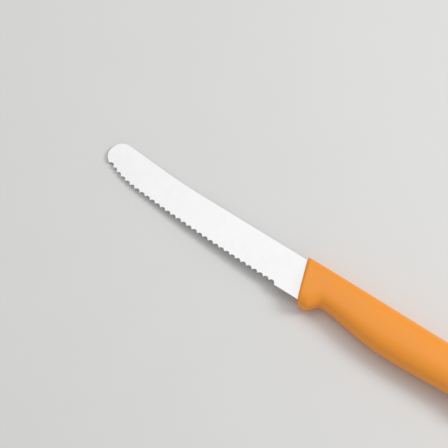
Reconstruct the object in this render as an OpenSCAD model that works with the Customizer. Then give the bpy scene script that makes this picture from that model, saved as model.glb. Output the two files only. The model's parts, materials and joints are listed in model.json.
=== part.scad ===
// Tomato knife: a round-nosed serrated blade with a plastic handle moulded over its tang.
// It lies on its side, as on a table: nose towards -X, butt towards +X, spine towards +Y.
// The origin is on the table, under the middle of the knife.
// Both pieces are drawn first in the knife's own frame: X runs back from the nose,
// Y is zero on the spine and negative towards the edge, Z is zero halfway through the steel.

/* [Blade] */
// Length of the blade along the spine, from the nose to the handle
blade_l = 107.8; // [90:0.1:130]
// Depth of the blade at its heel, from the spine to the plain edge
heel_depth = 18.6; // [16:0.2:23]
// Thickness of the steel at the spine, and of the tang
spine_t = 1.3; // [1:0.1:1.8]
// Thickness of the blade at its edge
edge_t = 0.6; // [0.4:0.1:0.9]
// Radius of the long curve of the edge
edge_r = 960; // [700:10:1400]

/* [Nose] */
// How far the top of the nose stands above the line of the spine
nose_rise = 2.45; // [1:0.05:4]
// Distance of the top of the nose behind its foremost point
nose_top_x = 6.7; // [5:0.1:9]
// Depth of the foremost point of the nose below the line of the spine
nose_depth = 4.8; // [3:0.1:7]
// Distance behind the nose where the spine becomes straight
sweep_l = 50; // [35:1:65]
// Distance behind the nose where the edge begins to turn up to it
turn_l = 24; // [18:1:32]

/* [Serration] */
// Distance from one tooth to the next
tooth_pitch = 3.1; // [2.4:0.1:4]
// Depth of a scallop below its teeth, on the upper face
scallop_depth = 1.15; // [0.8:0.05:1.5]
// How far the teeth stand back from the plain edge
tooth_inset = 0.5; // [0.2:0.05:0.8]
// Angle of the grinding wheel from square to the blade
grind_angle = 60; // [30:1:65]
// Length of plain edge between the handle and the first scallop
plain_heel = 12.5; // [8:0.1:20]
// Length of plain edge round the nose, below its foremost point
plain_nose = 5.4; // [4:0.1:10]

/* [Handle] */
// Length of the handle along its back
handle_l = 108; // [88:1:130]
// Slant of the front of the handle from square to the spine
front_slant = 19.4; // [10:0.1:28]
// How far the back of the handle stands above the spine
back_rise = 1; // [0.6:0.1:2]
// How much lower the back is at the butt than at the front
back_fall = 0.3; // [0:0.1:2]
// How far the guard reaches below the plain edge
guard_drop = 2.2; // [1.6:0.1:4]
// Depth of the finger notch below the line of the spine
notch_depth = 15.85; // [14:0.05:17]
// Depth of the belly below the line of the spine
belly_depth = 19.95; // [17.5:0.05:24]
// Depth of the waist in front of the butt
waist_depth = 18.8; // [16:0.1:20]
// Depth of the heel of the butt
butt_depth = 19.9; // [17:0.1:24]
// Thickness of the handle at its front
front_t = 11; // [9:0.1:13.4]
// Thickness of the handle at its belly
belly_t = 13.5; // [11:0.1:16.5]
// Thickness of the handle before its butt is rounded
butt_t = 12.4; // [10:0.1:15]
// Radius round the front end, seen from above
front_round = 2.2; // [1:0.1:3]

/* [Tang] */
// Length of the tang behind the front of the handle
tang_l = 70; // [55:1:84]
// Plastic between the tang and the handle's outline at the finger notch
tang_cover = 3.5; // [2.5:0.1:5]
// Width of the tang at its rear end
tang_end_w = 6; // [5:0.1:9]
// Diameter of the two holes that the plastic fills
tang_hole_d = 4; // [3:0.1:4.8]
// Distance of the first hole behind the front of the handle
tang_hole_x = 22; // [16:1:26]
// Distance between the two holes
tang_hole_gap = 28; // [15:1:30]
// Depth to which the full depth of the blade goes into the handle
heel_buried = 3.5; // [2:0.1:4]
// Steel left at full thickness in front of the handle, where the flat grind ends
grind_stop = 0.4; // [0.2:0.1:2]

/* [Hidden] */

// Curves in the plane of the blade.
function bezier(a, b, c, d, steps) =
    [for (i = [0 : steps]) let (t = i / steps, s = 1 - t)
        s * s * s * a + 3 * s * s * t * b + 3 * s * t * t * c + t * t * t * d];
function skip_first(list) = [for (i = [1 : len(list) - 1]) list[i]];
function ease(t) = (1 - cos(180 * max(0, min(1, t)))) / 2;
function rounding(t) = 1 - sqrt(max(0, 1 - t * t));

// The front of the handle is a slanted line across the knife.
function front_x(y) = blade_l - y * tan(front_slant);

// Edge of the blank before it is serrated: plain heel, long arc, then the turn up to the nose.
arc_start = [front_x(-heel_depth) - plain_heel, -heel_depth];
arc_steps = 24;
arc_sweep = asin((arc_start.x - turn_l) / edge_r);
function on_arc(a) = arc_start + edge_r * [-sin(a), 1 - cos(a)];
long_arc = [for (i = [0 : arc_steps]) on_arc(arc_sweep * i / arc_steps)];
turn_start = on_arc(arc_sweep);
turn_pull = 15;
nose_pull_down = 5.5;
nose_pull_up = 4.6;
top_pull = 4.1;
sweep_pull_front = 7.3;
sweep_pull_rear = 18;
turn_steps = 24;
nose = [0, -nose_depth];
turn = bezier(
    turn_start,
    turn_start + turn_pull * [-cos(arc_sweep), sin(arc_sweep)],
    nose + [0, -nose_pull_down],
    nose,
    turn_steps);
edge_path = concat(long_arc, skip_first(turn));

// Nose and spine: up round the nose, then down a long sweep to the straight spine.
nose_top = [nose_top_x, nose_rise];
sweep_slope = 0.048;
sweep_dir = [1, -sweep_slope];
nose_steps = 14;
sweep_steps = 16;
nose_curve = bezier(nose, nose + [0, nose_pull_up], nose_top - top_pull * sweep_dir, nose_top, nose_steps);
spine_sweep = bezier(
    nose_top,
    nose_top + sweep_pull_front * sweep_dir,
    [sweep_l - sweep_pull_rear, 0],
    [sweep_l, 0],
    sweep_steps);

// The flat grind stops just in front of the handle, and the full depth ends a little way inside it,
// both on lines parallel to the handle's front.
stop_x = -grind_stop / cos(front_slant);
buried_x = heel_buried / cos(front_slant);
ground_outline = concat(
    [[front_x(0) + stop_x, 0], [front_x(-heel_depth) + stop_x, -heel_depth]],
    edge_path,
    skip_first(nose_curve),
    skip_first(spine_sweep));
heel_outline = [
    [front_x(0) + stop_x, 0],
    [front_x(-heel_depth) + stop_x, -heel_depth],
    [front_x(-heel_depth) + buried_x, -heel_depth],
    [front_x(0) + buried_x, 0]];

// Thickness of the tapered blade at a depth below the spine.
function steel_t(y) = spine_t + (spine_t - edge_t) * min(0, y) / heel_depth;

// Length along the edge from the first scallop, for spacing the teeth evenly.
function run(path, i = 0, done = 0) =
    i == len(path) - 1 ? [done] : concat([done], run(path, i + 1, done + norm(path[i + 1] - path[i])));
edge_run = run(edge_path);
edge_by_x = [for (i = [0 : len(edge_path) - 1]) [edge_run[i], edge_path[i].x]];
edge_by_y = [for (i = [0 : len(edge_path) - 1]) [edge_run[i], edge_path[i].y]];
function on_edge(s) = [lookup(s, edge_by_x), lookup(s, edge_by_y)];
edge_l = edge_run[len(edge_run) - 1];
tooth_count = floor((edge_l - plain_nose) / tooth_pitch);

// A wheel cuts each scallop at a slant, so its width and its depth in the face give its radius.
wheel_sag = scallop_depth * cos(grind_angle);
wheel_r = (pow(tooth_pitch / 2, 2) + pow(wheel_sag, 2)) / (2 * wheel_sag);
wheel_reach = wheel_r / cos(grind_angle);
wheel_l = 12;

// Tang.
tang_y = (back_rise - notch_depth) / 2;
tang_w = notch_depth + back_rise - 2 * tang_cover;
tang_front_x = front_x(tang_y);
tang_root_x = tang_front_x + heel_buried / 2;
tang_end_x = tang_front_x + tang_l;
tang_holes = [tang_front_x + tang_hole_x, tang_front_x + tang_hole_x + tang_hole_gap];

// Lower line of the handle, from its front to its butt. Distances run back from the front of the guard.
guard_depth = heel_depth + guard_drop;
guard_front = front_x(-guard_depth);
guard_flat = 4.6;
notch_x = 10.5;
notch_end_x = 12.3;
belly_x = 46;
belly_lean = 0.8;
waist_back = 15;
butt_back = 7;
butt_x = blade_l + handle_l;
guard_corner = 2.6;
back_corner = 0.7;
waist_x = butt_x - waist_back - guard_front;
belly_end_x = belly_x + 2;
heel_x = butt_x - butt_back - guard_front;
function belly_y(d) =
    d < notch_x ? -guard_depth + (guard_depth - notch_depth) * ease((d - guard_flat) / (notch_x - guard_flat)) :
    d < belly_x ? -notch_depth - (belly_depth - notch_depth)
        * ease(pow(max(0, d - notch_end_x) / (belly_x - notch_end_x), belly_lean)) :
    d < waist_x ? -belly_depth + (belly_depth - waist_depth) * ease((d - belly_end_x) / (waist_x - belly_end_x)) :
    -waist_depth - (butt_depth - waist_depth) * ease((d - waist_x) / (heel_x - waist_x));

// The butt is rounded off to one foremost point at the rear.
butt_point_depth = 11.5;
butt_point = [butt_x, -butt_point_depth];
back_round = 16;
plan_round = 9;

// Stations along the handle, from 0 at its front to 1 at its butt, closest where it is rounded.
front_steps = 4;
notch_steps = 15;
middle_steps = 18;
butt_steps = 11;
notch_share = 0.2;
butt_share = 0.83;
front_share = front_round / handle_l;
stations = concat(
    [for (i = [0 : front_steps]) front_share * (1 - cos(90 * i / front_steps))],
    [for (i = [1 : notch_steps]) front_share + (notch_share - front_share) * i / notch_steps],
    [for (i = [1 : middle_steps]) notch_share + (butt_share - notch_share) * i / middle_steps],
    [for (i = [1 : butt_steps - 1]) butt_share + (1 - butt_share) * sin(90 * i / butt_steps)]);

// Share of a front radius that is still cut away at a station.
function front_left(u) = u < front_share ? rounding(1 - u / front_share) : 0;

// Points of the handle's back and belly at a station.
function back_point(u) =
    let (x = blade_l + handle_l * u,
         end = max(0, (x - butt_x + back_round) / back_round),
         y = back_rise - back_fall * u - back_corner * front_left(u))
    [x, y + (butt_point.y - y) * rounding(end)];
function belly_point(u) =
    let (d = (butt_x - guard_front) * u,
         end = max(0, (d - heel_x) / butt_back),
         y = belly_y(d) + guard_corner * front_left(u))
    [guard_front + d, y + (butt_point.y - y) * rounding(end)];

// Half the thickness of the handle at a station.
belly_share = 0.5;
function half_t(u) =
    let (full = u < belly_share
             ? front_t + (belly_t - front_t) * ease(u / belly_share)
             : belly_t + (butt_t - belly_t) * ease((u - belly_share) / (1 - belly_share)),
         end = max(0, 1 - (1 - u) * handle_l / plan_round))
    full / 2 * (1 - rounding(end)) - front_round * front_left(u);

// A section is an oval whose sides are flat at the front and fuller towards the butt.
front_power = 3.2;
butt_power = 2.3;
side_points = 32;
function power_at(u) = butt_power + (front_power - butt_power) * pow(1 - u, 2);
function signed_pow(v, e) = sign(v) * pow(abs(v), e);
function section(u) =
    let (back = back_point(u),
         belly = belly_point(u),
         middle = (back + belly) / 2,
         arm = (back - belly) / 2,
         e = 2 / power_at(u),
         h = half_t(u))
    [for (k = [0 : side_points - 1])
        let (a = 360 * k / side_points,
             c = signed_pow(cos(a), e))
        [middle.x + arm.x * c, middle.y + arm.y * c, h * signed_pow(sin(a), e)]];
rings = [for (u = stations) section(u)];
ring_count = len(rings);
front_middle = (back_point(0) + belly_point(0)) / 2;
skin_points = concat(
    [for (ring = rings) each ring],
    [[front_middle.x, front_middle.y, 0], [butt_point.x, butt_point.y, 0]]);
front_pole = ring_count * side_points;
butt_pole = front_pole + 1;
function at(ring, k) = ring * side_points + (k % side_points);
skin_faces = concat(
    [for (k = [0 : side_points - 1]) [front_pole, at(0, k + 1), at(0, k)]],
    [for (ring = [0 : ring_count - 2], k = [0 : side_points - 1])
        [at(ring, k), at(ring, k + 1), at(ring + 1, k)]],
    [for (ring = [0 : ring_count - 2], k = [0 : side_points - 1])
        [at(ring, k + 1), at(ring + 1, k + 1), at(ring + 1, k)]],
    [for (k = [0 : side_points - 1]) [butt_pole, at(ring_count - 1, k), at(ring_count - 1, k + 1)]]);

// At rest the nose and the fattest part of the handle touch the table, so the knife is tilted a little.
function tilt_slope(c) = min([for (b = ground_outline) (c[1] - steel_t(b.y) / 2) / (c[0] - b.x)]);
fat_points = [for (u = stations) if (u > notch_share) [(back_point(u).x + belly_point(u).x) / 2, half_t(u)]];
rest_tilt = atan(max([for (c = fat_points) tilt_slope(c)]));
function tilted(p) = [
    p.x * cos(rest_tilt) - p.z * sin(rest_tilt),
    p.y,
    p.x * sin(rest_tilt) + p.z * cos(rest_tilt)];
outer_points = concat(
    [for (p = skin_points) tilted(p)],
    [for (b = ground_outline, side = [-1, 1]) tilted([b.x, b.y, side * steel_t(b.y) / 2])]);
low = [for (axis = [0 : 2]) min([for (p = outer_points) p[axis]])];
high = [for (axis = [0 : 2]) max([for (p = outer_points) p[axis]])];
module at_rest() {
    translate([-(low.x + high.x) / 2, -(low.y + high.y) / 2, -low.z])
        rotate([0, -rest_tilt, 0])
            children();
}

// The exposed blade is as thick as the stock at the spine and tapers to the edge.
module ground_blade() {
    margin = 2;
    top = nose_rise + margin;
    intersection() {
        linear_extrude(height = 2 * spine_t, center = true)
            polygon(ground_outline);
        translate([-margin, 0, 0])
            rotate([90, 0, 90])
                linear_extrude(height = blade_l + heel_depth + 2 * margin)
                    polygon([
                        [top, spine_t / 2],
                        [0, spine_t / 2],
                        [-heel_depth, edge_t / 2],
                        [-heel_depth, -edge_t / 2],
                        [0, -spine_t / 2],
                        [top, -spine_t / 2]]);
    }
}

// The heel is left at the full thickness of the stock, from the end of the grind to inside the handle.
module heel() {
    linear_extrude(height = spine_t, center = true)
        polygon(heel_outline);
}

// The tang is as thick as the heel and narrows towards the rear.
module tang() {
    difference() {
        linear_extrude(height = spine_t, center = true)
            polygon([
                [tang_root_x, tang_y + tang_w / 2],
                [tang_root_x, tang_y - tang_w / 2],
                [tang_end_x, tang_y - tang_end_w / 2],
                [tang_end_x, tang_y + tang_end_w / 2]]);
        for (x = tang_holes)
            translate([x, tang_y, 0])
                cylinder(d = tang_hole_d, h = 2 * spine_t, center = true, $fn = 48);
    }
}

// One pass of the wheel, which cuts deeper into the lower face than into the upper.
module scallop(k) {
    here = on_edge((k + 0.5) * tooth_pitch);
    ahead = on_edge((k + 1) * tooth_pitch) - on_edge(k * tooth_pitch);
    along = atan2(ahead.y, ahead.x) - 180;
    translate([here.x, here.y, edge_t / 2])
        rotate([0, 0, along])
            translate([0, tooth_inset + scallop_depth - wheel_reach, 0])
                rotate([grind_angle, 0, 0])
                    cylinder(r = wheel_r, h = wheel_l, center = true, $fn = 48);
}

module blade() {
    color("gainsboro")
        at_rest()
            difference() {
                union() {
                    ground_blade();
                    heel();
                    tang();
                }
                for (k = [0 : tooth_count - 1])
                    scallop(k);
            }
}

// The plastic is moulded round the steel, so the steel's own shape is its cavity.
module handle() {
    color("darkorange")
        at_rest()
            difference() {
                polyhedron(points = skin_points, faces = skin_faces, convexity = 6);
                heel();
                tang();
            }
}

blade();
handle();
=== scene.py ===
# A tomato knife lying on its side on a pale floor: serrated steel blade, orange moulded handle.
# Both pieces are drawn in the knife's own frame in millimetres (X back from the nose, Y zero on the
# spine, Z zero halfway through the steel) and are then laid down at rest, in metres.

import json
from math import asin, atan2, ceil, cos, hypot, pi, radians, sin, sqrt, tan
import bmesh
import bpy
from bpy.props import FloatProperty, FloatVectorProperty, IntProperty, PointerProperty
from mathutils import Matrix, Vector


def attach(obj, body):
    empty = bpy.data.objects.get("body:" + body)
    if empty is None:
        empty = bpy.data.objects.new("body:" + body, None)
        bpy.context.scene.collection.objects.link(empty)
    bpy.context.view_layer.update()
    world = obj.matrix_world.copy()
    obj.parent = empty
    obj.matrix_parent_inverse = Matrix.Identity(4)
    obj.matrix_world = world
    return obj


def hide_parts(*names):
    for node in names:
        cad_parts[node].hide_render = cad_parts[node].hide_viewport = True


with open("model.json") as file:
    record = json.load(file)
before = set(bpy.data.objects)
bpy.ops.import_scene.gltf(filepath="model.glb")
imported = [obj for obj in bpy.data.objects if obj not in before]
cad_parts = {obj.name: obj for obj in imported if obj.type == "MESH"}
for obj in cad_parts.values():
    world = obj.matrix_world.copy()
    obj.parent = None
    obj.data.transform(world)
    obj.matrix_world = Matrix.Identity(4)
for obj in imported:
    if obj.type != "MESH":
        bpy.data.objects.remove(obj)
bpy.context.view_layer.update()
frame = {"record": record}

SLOT_COLOURS = {m["slot"]: m["base_color"] for m in frame["record"]["materials"]}

bl_info = {
    "name": "Tomato Knife",
    "version": (1, 0, 0),
    "blender": (4, 5, 0),
    "location": "View3D > Sidebar > Knife",
    "description": "Builds a serrated tomato knife with a moulded handle, and a stage for it",
    "category": "Add Mesh",
}

# The knife at rest: its tilt on the table, and the place of its own frame there
REST_TILT = radians(2.30163)
REST_SHIFT = (-107.802, 9.175, 0.939)
MM = 0.001

# The photograph's camera, in metres, and its focal length on its sensor, in millimetres
CAMERA_PLACE = (0.1719, -0.3023, 0.8027)
CAMERA_TARGET = (-0.04281, 0.0043, 0.0)
CAMERA_LENS = 155.09
CAMERA_SENSOR = 36


def at_rest(x, y, z):
    """A point of the knife's own frame, in millimetres, laid on the table in metres."""
    return Vector((
        (x * cos(REST_TILT) - z * sin(REST_TILT) + REST_SHIFT[0]) * MM,
        (y + REST_SHIFT[1]) * MM,
        (x * sin(REST_TILT) + z * cos(REST_TILT) + REST_SHIFT[2]) * MM,
    ))


def bezier(a, b, c, d, steps):
    """Points along a cubic curve from a to d, pulled by b and c."""
    points = []
    for i in range(steps + 1):
        t = i / steps
        s = 1 - t
        weights = (s ** 3, 3 * s * s * t, 3 * s * t * t, t ** 3)
        points.append(tuple(sum(w * p[axis] for w, p in zip(weights, (a, b, c, d))) for axis in (0, 1)))
    return points


def ease(t):
    """A smooth step from 0 to 1."""
    return (1 - cos(pi * max(0.0, min(1.0, t)))) / 2


def rounding(t):
    """How much of a radius is cut away at a share t of the way round its quarter turn."""
    return 1 - sqrt(max(0.0, 1 - t * t))


def signed_power(value, exponent):
    return abs(value) ** exponent * (1 if value > 0 else -1)


def path_run(path):
    """The distance along a path at each of its points."""
    run = [0.0]
    for a, b in zip(path, path[1:]):
        run.append(run[-1] + hypot(b[0] - a[0], b[1] - a[1]))
    return run


def on_path(path, run, distance):
    """The point of a path at a distance along it."""
    distance = max(0.0, min(run[-1], distance))
    i = 0
    while i < len(run) - 2 and run[i + 1] < distance:
        i += 1
    t = (distance - run[i]) / (run[i + 1] - run[i])
    return tuple(path[i][axis] + t * (path[i + 1][axis] - path[i][axis]) for axis in (0, 1))


class KnifeBladeSizes(bpy.types.PropertyGroup):
    """Sizes of the blade, in millimetres"""
    length: FloatProperty(name="Length", description="Spine, from the nose to the handle", default=107.8)
    depth: FloatProperty(name="Depth", description="Spine to plain edge at the heel", default=18.6)
    spine_t: FloatProperty(name="Spine", description="Thickness at the spine", default=1.3)
    edge_t: FloatProperty(name="Edge", description="Thickness at the edge", default=0.6)
    pitch: FloatProperty(name="Pitch", description="Distance from one tooth to the next", default=3.1)
    scallop: FloatProperty(name="Scallop", description="Depth of a scallop below its teeth", default=1.15)
    inset: FloatProperty(name="Inset", description="How far the teeth stand back", default=0.5)
    grind: FloatProperty(
        name="Grind", description="Slant of the wheel", default=radians(60), subtype="ANGLE")
    plain_heel: FloatProperty(name="Plain heel", description="Plain edge at the heel", default=12.5)
    plain_nose: FloatProperty(name="Plain nose", description="Plain edge round the nose", default=5.4)
    colour: FloatVectorProperty(
        name="Steel", description="Colour of the steel", subtype="COLOR",
        default=SLOT_COLOURS["steel"][:3], min=0, max=1)


class KnifeHandleSizes(bpy.types.PropertyGroup):
    """Sizes of the handle, in millimetres"""
    length: FloatProperty(name="Length", description="Back of the handle", default=108.0)
    slant: FloatProperty(
        name="Slant", description="Slant of its front", default=radians(19.4), subtype="ANGLE")
    front_t: FloatProperty(name="Front", description="Thickness at the front", default=11.0)
    belly_t: FloatProperty(name="Belly", description="Thickness at the belly", default=13.5)
    butt_t: FloatProperty(name="Butt", description="Thickness before the butt is rounded", default=12.4)
    front_round: FloatProperty(name="Front round", description="Radius round the front", default=2.2)
    stations: IntProperty(name="Stations", description="Sections along the handle", default=180, min=80)
    around: IntProperty(name="Around", description="Points round a section", default=128, min=16)
    colour: FloatVectorProperty(
        name="Plastic", description="Colour of the plastic", subtype="COLOR",
        default=SLOT_COLOURS["orange_plastic"][:3], min=0, max=1)


class KnifeStageLook(bpy.types.PropertyGroup):
    """Colours of the stage, and the power of its lamps"""
    floor: FloatVectorProperty(
        name="Floor", description="Colour of the floor", subtype="COLOR",
        default=(0.80, 0.80, 0.79), min=0, max=1)
    world: FloatVectorProperty(
        name="World", description="Even light from all round", subtype="COLOR",
        default=(0.5, 0.5, 0.5), min=0, max=1)
    sky_power: FloatProperty(
        name="Sky panel", description="Power of the panel that the blade reflects",
        default=1.65, unit="POWER")
    key_power: FloatProperty(
        name="Key", description="Power of the lamp at the upper right",
        default=3.6, unit="POWER")


def add_mesh(name, points, faces, material, smooth):
    """A new object with its place in its mesh and its faces turned outwards."""
    mesh = bpy.data.meshes.new(name)
    mesh.from_pydata(points, [], faces)
    mesh.materials.append(material)
    fix = bmesh.new()
    fix.from_mesh(mesh)
    bmesh.ops.recalc_face_normals(fix, faces=fix.faces)
    fix.to_mesh(mesh)
    fix.free()
    mesh.polygons.foreach_set("use_smooth", [smooth] * len(mesh.polygons))
    obj = bpy.data.objects.new(name, mesh)
    bpy.context.scene.collection.objects.link(obj)
    return obj


def skin_faces(ring_count, ring_points):
    """Four-sided faces between each ring of points and the next."""
    faces = []
    for ring in range(ring_count - 1):
        here = ring * ring_points
        there = here + ring_points
        for i in range(ring_points):
            j = (i + 1) % ring_points
            faces.append((here + i, here + j, there + j, there + i))
    return faces


def new_material(name):
    material = bpy.data.materials.new(name)
    material.use_nodes = True
    return material, material.node_tree.nodes, material.node_tree.links


def stretched_noise(nodes, links, scale, detail):
    """Noise on Object coordinates, with its own scale along each axis."""
    place = nodes.new("ShaderNodeTexCoord")
    mapping = nodes.new("ShaderNodeMapping")
    mapping.inputs["Scale"].default_value = scale
    noise = nodes.new("ShaderNodeTexNoise")
    noise.inputs["Scale"].default_value = 1.0
    noise.inputs["Detail"].default_value = detail
    links.new(place.outputs["Object"], mapping.inputs["Vector"])
    links.new(mapping.outputs["Vector"], noise.inputs["Vector"])
    return noise


def ramp(nodes, links, source, low, high):
    """Spreads a noise's middle range between two values."""
    noise_low = 0.3
    noise_high = 0.7
    spread = nodes.new("ShaderNodeMapRange")
    spread.inputs["From Min"].default_value = noise_low
    spread.inputs["From Max"].default_value = noise_high
    spread.inputs["To Min"].default_value = low
    spread.inputs["To Max"].default_value = high
    links.new(source.outputs["Fac"], spread.inputs["Value"])
    return spread.outputs["Result"]


def tint(nodes, links, source, colour, darker):
    """Varies a colour between itself and a darker shade of it."""
    mix = nodes.new("ShaderNodeMix")
    mix.data_type = "RGBA"
    mix.inputs["A"].default_value = (*[c * darker for c in colour], 1)
    mix.inputs["B"].default_value = (*colour, 1)
    links.new(source.outputs["Fac"], mix.inputs["Factor"])
    return mix.outputs["Result"]


def bump(nodes, links, source, distance, strength):
    """Raises the surface by a noise, by a distance in metres."""
    node = nodes.new("ShaderNodeBump")
    node.inputs["Distance"].default_value = distance
    node.inputs["Strength"].default_value = strength
    links.new(source.outputs["Fac"], node.inputs["Height"])
    return node.outputs["Normal"]


def satin_steel(colour):
    """Ground steel: fine marks across the blade, over a faint unevenness."""
    marks_scale = (9000, 260, 900)
    clouds_scale = (60, 60, 60)
    mark_height = 0.000004
    material, nodes, links = new_material("satin_steel")
    shader = nodes["Principled BSDF"]
    shader.inputs["Metallic"].default_value = 1.0
    marks = stretched_noise(nodes, links, marks_scale, detail=3.0)
    clouds = stretched_noise(nodes, links, clouds_scale, detail=2.0)
    links.new(tint(nodes, links, clouds, colour, darker=0.95), shader.inputs["Base Color"])
    links.new(ramp(nodes, links, marks, low=0.3, high=0.42), shader.inputs["Roughness"])
    links.new(bump(nodes, links, marks, mark_height, strength=0.5), shader.inputs["Normal"])
    return material


def moulded_plastic(colour):
    """Semi-gloss plastic with a very fine texture and a faint unevenness of colour."""
    grain_scale = (2600, 2600, 2600)
    clouds_scale = (45, 45, 45)
    grain_height = 0.00001
    material, nodes, links = new_material("moulded_plastic")
    shader = nodes["Principled BSDF"]
    grain = stretched_noise(nodes, links, grain_scale, detail=2.0)
    clouds = stretched_noise(nodes, links, clouds_scale, detail=2.0)
    links.new(tint(nodes, links, clouds, colour, darker=0.94), shader.inputs["Base Color"])
    links.new(ramp(nodes, links, clouds, low=0.3, high=0.38), shader.inputs["Roughness"])
    links.new(bump(nodes, links, grain, grain_height, strength=0.35), shader.inputs["Normal"])
    return material


def pale_floor(colour):
    """A matt pale floor with a faint unevenness."""
    clouds_scale = (30, 30, 30)
    material, nodes, links = new_material("pale_floor")
    shader = nodes["Principled BSDF"]
    shader.inputs["Roughness"].default_value = 0.7
    clouds = stretched_noise(nodes, links, clouds_scale, detail=3.0)
    links.new(tint(nodes, links, clouds, colour, darker=0.97), shader.inputs["Base Color"])
    return material


def scallop_tree(material):
    """Pushes the blade's edge in, tooth by tooth, along each point's own inward direction."""
    tree = bpy.data.node_groups.new("edge_scallops", "GeometryNodeTree")
    sockets = tree.interface
    sockets.new_socket("Geometry", in_out="INPUT", socket_type="NodeSocketGeometry")
    for name in ("Pitch", "Scallop", "Inset", "Lower Reach"):
        sockets.new_socket(name, in_out="INPUT", socket_type="NodeSocketFloat")
    sockets.new_socket("Geometry", in_out="OUTPUT", socket_type="NodeSocketGeometry")
    nodes, links = tree.nodes, tree.links
    given = nodes.new("NodeGroupInput")
    result = nodes.new("NodeGroupOutput")

    def attribute(name, kind):
        node = nodes.new("GeometryNodeInputNamedAttribute")
        node.data_type = kind
        node.inputs["Name"].default_value = name
        return node.outputs["Attribute"]

    def calculate(operation, *values):
        node = nodes.new("ShaderNodeMath")
        node.operation = operation
        for socket, value in zip(node.inputs, values):
            if isinstance(value, (int, float)):
                socket.default_value = value
            else:
                links.new(value, socket)
        return node.outputs["Value"]

    # Each scallop is a hollow that is deepest halfway between two teeth.
    share = calculate("FRACT", calculate("DIVIDE", attribute("run", "FLOAT"), given.outputs["Pitch"]))
    across = calculate("SUBTRACT", calculate("MULTIPLY", share, 2.0), 1.0)
    hollow = calculate("SUBTRACT", 1.0, calculate("MULTIPLY", across, across))
    cut = calculate("ADD", calculate("MULTIPLY", hollow, given.outputs["Scallop"]), given.outputs["Inset"])
    reach = calculate("MULTIPLY", attribute("lower", "FLOAT"), given.outputs["Lower Reach"])
    cut = calculate("MULTIPLY", calculate("ADD", cut, reach), attribute("ground", "FLOAT"))
    push = nodes.new("ShaderNodeVectorMath")
    push.operation = "SCALE"
    links.new(attribute("inward", "FLOAT_VECTOR"), push.inputs[0])
    links.new(cut, push.inputs["Scale"])

    move = nodes.new("GeometryNodeSetPosition")
    realize = nodes.new("GeometryNodeRealizeInstances")
    paint = nodes.new("GeometryNodeSetMaterial")
    paint.inputs["Material"].default_value = material
    links.new(given.outputs["Geometry"], move.inputs["Geometry"])
    links.new(push.outputs["Vector"], move.inputs["Offset"])
    links.new(move.outputs["Geometry"], realize.inputs["Geometry"])
    links.new(realize.outputs["Geometry"], paint.inputs["Geometry"])
    links.new(paint.outputs["Geometry"], result.inputs["Geometry"])
    return tree


def run_tree(obj, tree, values):
    """Runs a tree on an object and leaves its result as the object's plain mesh."""
    modifier = obj.modifiers.new(tree.name, "NODES")
    modifier.node_group = tree
    for item in tree.interface.items_tree:
        if item.in_out == "INPUT" and item.name in values:
            modifier[item.identifier] = values[item.name]
    shown = obj.evaluated_get(bpy.context.evaluated_depsgraph_get())
    mesh = bpy.data.meshes.new_from_object(shown)
    obj.modifiers.clear()
    obj.data = mesh


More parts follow.
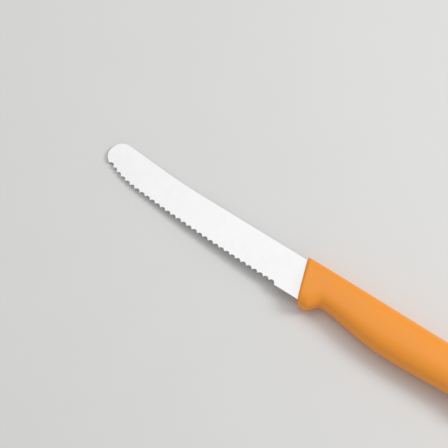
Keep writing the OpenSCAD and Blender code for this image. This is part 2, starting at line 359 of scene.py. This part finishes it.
class KNIFE_OT_blade(bpy.types.Operator):
    """Build the serrated blade"""
    bl_idname = "knife.blade"
    bl_label = "Blade"

    # The outline, in millimetres, and how hard its curves are pulled at their ends
    EDGE_R = 960
    TURN_L = 24
    TURN_PULL = 15
    NOSE = (0, -4.8)
    NOSE_PULL_DOWN = 5.5
    NOSE_PULL_UP = 4.6
    NOSE_TOP = (6.7, 2.45)
    TOP_PULL = 4.1
    SWEEP_L = 50
    SWEEP_SLOPE = 0.048
    SWEEP_PULL_FRONT = 7.3
    SWEEP_PULL_REAR = 18
    BURIED = 3.5
    ARC_STEPS = 60
    TURN_STEPS = 120
    NOSE_STEPS = 80
    SWEEP_STEPS = 60

    # The sections across the blade, in millimetres and in shares of a section's length
    COLUMN_STEP = 0.2
    TANGENT_STEP = 0.5
    SPINE_ROUND = 0.22
    SPINE_ROUND_PARTS = 6
    ROUND_STEP = 0.3
    EDGE_BAND = 3.3
    EDGE_BAND_SHARE = 0.45
    UPPER_EDGE = 5
    LOWER_EDGE = 6

    def edge_path(self, size, slant):
        """The edge before it is serrated, from the nose to just inside the handle."""
        heel_x = size.length + size.depth * tan(slant)
        start_x = heel_x - size.plain_heel
        sweep = asin((start_x - self.TURN_L) / self.EDGE_R)

        def on_arc(a):
            return (start_x - self.EDGE_R * sin(a), -size.depth + self.EDGE_R * (1 - cos(a)))

        turn_x, turn_y = on_arc(sweep)
        turn = bezier(
            (turn_x, turn_y),
            (turn_x - self.TURN_PULL * cos(sweep), turn_y + self.TURN_PULL * sin(sweep)),
            (self.NOSE[0], self.NOSE[1] - self.NOSE_PULL_DOWN),
            self.NOSE,
            self.TURN_STEPS)
        arc = [on_arc(sweep * i / self.ARC_STEPS) for i in range(self.ARC_STEPS)]
        path = [(heel_x + self.BURIED / cos(slant), -size.depth)] + arc + turn
        return path[::-1]

    def spine_path(self, size, slant):
        """The spine, from the nose to just inside the handle."""
        top_x, top_y = self.NOSE_TOP
        nose = bezier(
            self.NOSE,
            (self.NOSE[0], self.NOSE[1] + self.NOSE_PULL_UP),
            (top_x - self.TOP_PULL, top_y + self.TOP_PULL * self.SWEEP_SLOPE),
            self.NOSE_TOP,
            self.NOSE_STEPS)
        sweep = bezier(
            self.NOSE_TOP,
            (top_x + self.SWEEP_PULL_FRONT, top_y - self.SWEEP_PULL_FRONT * self.SWEEP_SLOPE),
            (self.SWEEP_L - self.SWEEP_PULL_REAR, 0),
            (self.SWEEP_L, 0),
            self.SWEEP_STEPS)
        return nose + sweep[1:] + [(size.length + self.BURIED / cos(slant), 0)]

    def section(self, spine, edge, size):
        """Points round one section, from the spine over the upper face to the edge and back."""
        length = hypot(edge[0] - spine[0], edge[1] - spine[1])
        way = ((edge[0] - spine[0]) / length, (edge[1] - spine[1]) / length)
        r = min(self.SPINE_ROUND, length / self.SPINE_ROUND_PARTS)
        band = min(self.EDGE_BAND, length * self.EDGE_BAND_SHARE)
        stops = [
            (0, r),
            (self.ROUND_STEP * r, self.ROUND_STEP * r),
            (r, 0),
            ((r + length - band) / 2, 0),
            (length - band, 0),
            (length, 0),
        ]
        ring = []
        for side in (1, -1):
            half = []
            for along, drop in stops:
                x = spine[0] + way[0] * along
                y = spine[1] + way[1] * along
                steel = size.spine_t + (size.spine_t - size.edge_t) * min(0, y) / size.depth
                half.append((x, y, side * (steel / 2 - drop)))
            ring += half if side == 1 else half[::-1]
        return ring

    def inward(self, edge, edge_run, distance):
        """The direction square to the edge and into the blade, for an offset in metres."""
        ahead = on_path(edge, edge_run, distance + self.TANGENT_STEP)
        behind = on_path(edge, edge_run, distance - self.TANGENT_STEP)
        along = atan2(ahead[1] - behind[1], ahead[0] - behind[0])
        return (at_rest(-sin(along), cos(along), 0) - at_rest(0, 0, 0)) / MM

    def execute(self, context):
        size = context.scene.knife_blade
        slant = context.scene.knife_handle.slant
        edge = self.edge_path(size, slant)
        spine = self.spine_path(size, slant)
        edge_run = path_run(edge)
        spine_run = path_run(spine)
        first_scallop = edge_run[-1] - size.plain_heel - self.BURIED / cos(slant)
        scallop_l = int((first_scallop - size.plain_nose) / size.pitch) * size.pitch
        columns = ceil(edge_run[-1] / self.COLUMN_STEP)
        points, runs, ground, lower, inward = [], [], [], [], []
        for k in range(columns):
            share = (k + 0.5) / (columns - 0.5)
            distance = share * edge_run[-1]
            ring = self.section(
                on_path(spine, spine_run, share * spine_run[-1]), on_path(edge, edge_run, distance), size)
            run = first_scallop - distance
            cut = 1.0 if 0 <= run <= scallop_l else 0.0
            into = self.inward(edge, edge_run, distance)
            for i, point in enumerate(ring):
                points.append(at_rest(*point))
                runs.append(run * MM)
                ground.append(cut if i in (self.UPPER_EDGE, self.LOWER_EDGE) else 0.0)
                lower.append(1.0 if i == self.LOWER_EDGE else 0.0)
                inward.extend(into)
        ring_points = len(ring)
        faces = skin_faces(columns, ring_points)
        faces.append(tuple(range(ring_points)))
        faces.append(tuple((columns - 1) * ring_points + i for i in reversed(range(ring_points))))
        material = satin_steel(size.colour)
        blade = add_mesh("blade_steel", points, faces, material, False)
        for name, values in (("run", runs), ("ground", ground), ("lower", lower)):
            blade.data.attributes.new(name, "FLOAT", "POINT").data.foreach_set("value", values)
        blade.data.attributes.new("inward", "FLOAT_VECTOR", "POINT").data.foreach_set("vector", inward)
        run_tree(blade, scallop_tree(material), {
            "Pitch": size.pitch * MM,
            "Scallop": size.scallop * MM,
            "Inset": size.inset * MM,
            "Lower Reach": size.edge_t * tan(size.grind) * MM,
        })
        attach(blade, "root")
        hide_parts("blade")
        return {"FINISHED"}


class KNIFE_OT_handle(bpy.types.Operator):
    """Build the moulded handle"""
    bl_idname = "knife.handle"
    bl_label = "Handle"

    # The back and the guard, in millimetres
    BACK_RISE = 1
    BACK_FALL = 0.3
    BACK_CORNER = 0.7
    GUARD_DROP = 2.2
    GUARD_FLAT = 4.6
    GUARD_CORNER = 2.6

    # The lower line: distances behind the guard's front or before the butt, and depths below the spine
    NOTCH_X = 10.5
    NOTCH_DEPTH = 15.85
    NOTCH_END_X = 12.3
    BELLY_X = 46
    BELLY_DEPTH = 19.95
    BELLY_LEAN = 0.8
    BELLY_FLAT = 2
    WAIST_BACK = 15
    WAIST_DEPTH = 18.8
    BUTT_BACK = 7
    BUTT_DEPTH = 19.9

    # The butt's rounding, and the sections' fullness at each end
    BUTT_POINT_Y = -11.5
    BACK_ROUND = 16
    PLAN_ROUND = 9
    FRONT_POWER = 3.2
    BUTT_POWER = 2.3

    # Shares of the length where the handle is thickest and where its butt begins, and the stations there
    BELLY_SHARE = 0.5
    BUTT_SHARE = 0.83
    FRONT_STEPS = 12
    BUTT_STEPS = 40

    def belly_y(self, d, guard_depth, waist_x, heel_x):
        """Height of the lower line at a distance behind the front of the guard."""
        if d < self.NOTCH_X:
            share = (d - self.GUARD_FLAT) / (self.NOTCH_X - self.GUARD_FLAT)
            return -guard_depth + (guard_depth - self.NOTCH_DEPTH) * ease(share)
        if d < self.BELLY_X:
            share = max(0.0, d - self.NOTCH_END_X) / (self.BELLY_X - self.NOTCH_END_X)
            return -self.NOTCH_DEPTH - (self.BELLY_DEPTH - self.NOTCH_DEPTH) * ease(share ** self.BELLY_LEAN)
        if d < waist_x:
            share = (d - self.BELLY_X - self.BELLY_FLAT) / (waist_x - self.BELLY_X - self.BELLY_FLAT)
            return -self.BELLY_DEPTH + (self.BELLY_DEPTH - self.WAIST_DEPTH) * ease(share)
        share = (d - waist_x) / (heel_x - waist_x)
        return -self.WAIST_DEPTH - (self.BUTT_DEPTH - self.WAIST_DEPTH) * ease(share)

    def back_point(self, u, left, size, blade):
        """The back of the handle at a share u of its length."""
        butt_x = blade.length + size.length
        x = blade.length + size.length * u
        y = self.BACK_RISE - self.BACK_FALL * u - self.BACK_CORNER * left
        end = max(0.0, (x - butt_x + self.BACK_ROUND) / self.BACK_ROUND)
        return x, y + (self.BUTT_POINT_Y - y) * rounding(end)

    def belly_point(self, u, left, size, blade):
        """The lower line of the handle at a share u of its length."""
        butt_x = blade.length + size.length
        guard_depth = blade.depth + self.GUARD_DROP
        guard_front = blade.length + guard_depth * tan(size.slant)
        waist_x = butt_x - self.WAIST_BACK - guard_front
        heel_x = butt_x - self.BUTT_BACK - guard_front
        d = (butt_x - guard_front) * u
        y = self.belly_y(d, guard_depth, waist_x, heel_x) + self.GUARD_CORNER * left
        end = max(0.0, (d - heel_x) / self.BUTT_BACK)
        return guard_front + d, y + (self.BUTT_POINT_Y - y) * rounding(end)

    def half_thickness(self, u, left, size):
        """Half the thickness of the handle at a share u of its length."""
        if u < self.BELLY_SHARE:
            full = size.front_t + (size.belly_t - size.front_t) * ease(u / self.BELLY_SHARE)
        else:
            share = (u - self.BELLY_SHARE) / (1 - self.BELLY_SHARE)
            full = size.belly_t + (size.butt_t - size.belly_t) * ease(share)
        end = max(0.0, 1 - (1 - u) * size.length / self.PLAN_ROUND)
        return full / 2 * (1 - rounding(end)) - size.front_round * left

    def ring(self, u, size, blade):
        """The middle of a section of the handle, and the points round it."""
        front = size.front_round / size.length
        left = rounding(1 - u / front) if u < front else 0.0
        back = self.back_point(u, left, size, blade)
        belly = self.belly_point(u, left, size, blade)
        half = self.half_thickness(u, left, size)
        middle = ((back[0] + belly[0]) / 2, (back[1] + belly[1]) / 2)
        arm = ((back[0] - belly[0]) / 2, (back[1] - belly[1]) / 2)
        power = 2 / (self.BUTT_POWER + (self.FRONT_POWER - self.BUTT_POWER) * (1 - u) ** 2)
        points = []
        for k in range(size.around):
            a = 2 * pi * k / size.around
            c = signed_power(cos(a), power)
            s = signed_power(sin(a), power)
            points.append(at_rest(middle[0] + arm[0] * c, middle[1] + arm[1] * c, half * s))
        return at_rest(*middle, 0), points

    def shares(self, size):
        """Where the sections lie, from 0 at the front to just under 1 at the butt."""
        front = size.front_round / size.length
        butt = self.BUTT_SHARE
        middle_steps = size.stations - self.FRONT_STEPS - self.BUTT_STEPS
        shares = [front * (1 - cos(pi / 2 * i / self.FRONT_STEPS)) for i in range(self.FRONT_STEPS + 1)]
        shares += [front + (butt - front) * i / middle_steps for i in range(1, middle_steps + 1)]
        shares += [butt + (1 - butt) * sin(pi / 2 * i / self.BUTT_STEPS) for i in range(1, self.BUTT_STEPS)]
        return shares

    def execute(self, context):
        size = context.scene.knife_handle
        blade = context.scene.knife_blade
        rings = [self.ring(u, size, blade) for u in self.shares(size)]
        points = [point for middle, ring in rings for point in ring]
        faces = skin_faces(len(rings), size.around)
        last = (len(rings) - 1) * size.around
        front_pole = len(points)
        butt_pole = front_pole + 1
        points += [rings[0][0], at_rest(blade.length + size.length, self.BUTT_POINT_Y, 0)]
        for k in range(size.around):
            j = (k + 1) % size.around
            faces.append((front_pole, j, k))
            faces.append((butt_pole, last + k, last + j))
        handle = add_mesh("handle_moulding", points, faces, moulded_plastic(size.colour), True)
        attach(handle, "root")
        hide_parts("handle")
        return {"FINISHED"}


def turn_towards(obj, target):
    """Turns a lamp or a camera from its place towards a point."""
    obj.rotation_euler = (Vector(target) - obj.location).to_track_quat("-Z", "Y").to_euler()


def add_lamp(name, place, side, power):
    """A square lamp that lights the middle of the floor."""
    lamp = bpy.data.lights.new(name, "AREA")
    lamp.shape = "SQUARE"
    lamp.size = side
    lamp.energy = power
    obj = bpy.data.objects.new(name, lamp)
    bpy.context.scene.collection.objects.link(obj)
    obj.location = place
    turn_towards(obj, (0, 0, 0))


class KNIFE_OT_stage(bpy.types.Operator):
    """Set the floor, the lamps and the camera"""
    bl_idname = "knife.stage"
    bl_label = "Stage"

    # Places and sizes in metres
    FLOOR_SIDE = 3.0
    SKY_PLACE = (-0.24, 0.34, 0.88)
    SKY_SIDE = 0.8
    KEY_PLACE = (0.55, 0.45, 0.65)
    KEY_SIDE = 0.35

    def execute(self, context):
        scene = context.scene
        look = scene.knife_stage
        half = self.FLOOR_SIDE / 2
        corners = [(-half, -half, 0), (half, -half, 0), (half, half, 0), (-half, half, 0)]
        add_mesh("floor", corners, [(0, 1, 2, 3)], pale_floor(look.floor), False)
        scene.world = scene.world or bpy.data.worlds.new("studio")
        scene.world.use_nodes = True
        background = scene.world.node_tree.nodes["Background"]
        background.inputs["Color"].default_value = (*look.world, 1)
        add_lamp("sky_panel", self.SKY_PLACE, self.SKY_SIDE, look.sky_power)
        add_lamp("key", self.KEY_PLACE, self.KEY_SIDE, look.key_power)
        camera = bpy.data.cameras.new("photo_view")
        camera.lens = CAMERA_LENS
        camera.sensor_width = CAMERA_SENSOR
        obj = bpy.data.objects.new("photo_view", camera)
        scene.collection.objects.link(obj)
        obj.location = CAMERA_PLACE
        turn_towards(obj, CAMERA_TARGET)
        scene.camera = obj
        scene.view_settings.view_transform = "Standard"
        return {"FINISHED"}


class KNIFE_PT_panel(bpy.types.Panel):
    """Lists the knife's sizes and colours, and the operators that build it"""
    bl_idname = "KNIFE_PT_panel"
    bl_label = "Tomato knife"
    bl_space_type = "VIEW_3D"
    bl_region_type = "UI"
    bl_category = "Knife"

    def draw(self, context):
        scene = context.scene
        for group in (scene.knife_blade, scene.knife_handle, scene.knife_stage):
            column = self.layout.column(align=True)
            for name in group.__annotations__:
                column.prop(group, name)
        for operator in OPERATORS:
            self.layout.operator(operator.bl_idname)


GROUPS = (KnifeBladeSizes, KnifeHandleSizes, KnifeStageLook)
OPERATORS = (KNIFE_OT_blade, KNIFE_OT_handle, KNIFE_OT_stage)
CLASSES = GROUPS + OPERATORS + (KNIFE_PT_panel,)


def register():
    for cls in CLASSES:
        bpy.utils.register_class(cls)
    bpy.types.Scene.knife_blade = PointerProperty(type=KnifeBladeSizes)
    bpy.types.Scene.knife_handle = PointerProperty(type=KnifeHandleSizes)
    bpy.types.Scene.knife_stage = PointerProperty(type=KnifeStageLook)


def unregister():
    del bpy.types.Scene.knife_stage
    del bpy.types.Scene.knife_handle
    del bpy.types.Scene.knife_blade
    for cls in reversed(CLASSES):
        bpy.utils.unregister_class(cls)


def main():
    register()
    bpy.ops.knife.blade()
    bpy.ops.knife.handle()
    bpy.ops.knife.stage()


if __name__ == "__main__":
    main()
